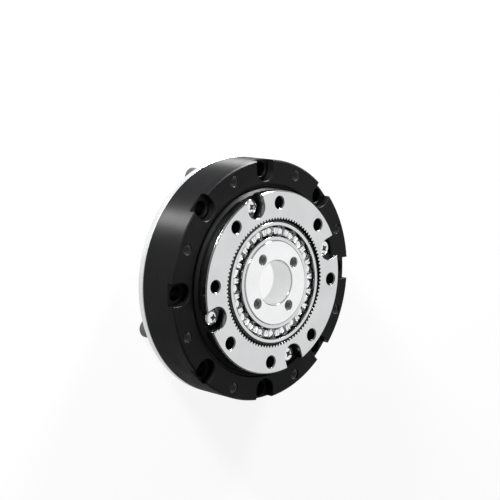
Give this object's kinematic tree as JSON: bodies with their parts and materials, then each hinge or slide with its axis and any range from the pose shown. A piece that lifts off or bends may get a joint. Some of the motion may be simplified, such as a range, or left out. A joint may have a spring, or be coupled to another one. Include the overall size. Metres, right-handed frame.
{
  "type": "strain wave gear",
  "caption": "Hat-type strain wave gear unit with a crossed-roller output bearing, an oval wave generator with a shaft bore, and screw holes for housing, output and input.",
  "frame": {"origin": "on the gear axis, at the rear face of the flexspline's brim, which is the mounting face", "axes": "+Z along the gear axis towards the input side, where the circular spline and the wave generator are seen; +X through the centre of one through hole for a housing bolt; +Y completes a right-handed frame"},
  "size_m": [0.0926, 0.0926, 0.0299],
  "materials": {
    "black_ring": "satin",
    "bearing_steel": "satin",
    "polished_steel": "polished",
    "nylon": "matte",
    "seal_rubber": "matte",
    "black_screw": "satin",
    "bright_screw": "polished",
    "ground_steel": "satin",
    "flexspline_steel": "satin",
    "hub_steel": "satin",
    "retainer_metal": "satin"
  },
  "bodies": {
    "housing": {"outer_ring": "black_ring", "flexspline": "flexspline_steel", "brim_screws_m4": "black_screw", "front_seal": "seal_rubber", "brim_o_ring": "seal_rubber"},
    "output": {"circular_spline": "ground_steel", "inner_ring_front": "black_ring", "inner_ring_rear": "black_ring", "inner_ring_screws_m3": "bright_screw"},
    "roller_set": {"rollers_leaning_out": "polished_steel", "rollers_leaning_in": "polished_steel", "roller_spacers": "nylon"},
    "wave_generator": {"wave_generator_hub": "hub_steel", "flex_inner_race": "bearing_steel", "flex_outer_race": "bearing_steel", "flex_balls": "polished_steel", "ball_retainer": "retainer_metal"}
  },
  "joints": [
    {"name": "input_spin", "type": "hinge", "parent": "housing", "child": "wave_generator", "pos_m": [0, 0, 0.0207], "axis": [0, 0, 1], "continuous": true, "deforming": ["flexspline"]},
    {"name": "output_spin", "type": "hinge", "parent": "housing", "child": "output", "pos_m": [0, 0, 0.0115], "axis": [0, 0, 1], "continuous": true},
    {"name": "roller_orbit", "type": "hinge", "parent": "housing", "child": "roller_set", "pos_m": [0, 0, 0.0115], "axis": [0, 0, 1], "continuous": true}
  ],
  "couplings": [
    {"joint": "output_spin", "follows": "input_spin", "ratio": 0.019608},
    {"joint": "roller_orbit", "follows": "input_spin", "ratio": 0.0098039}
  ]
}
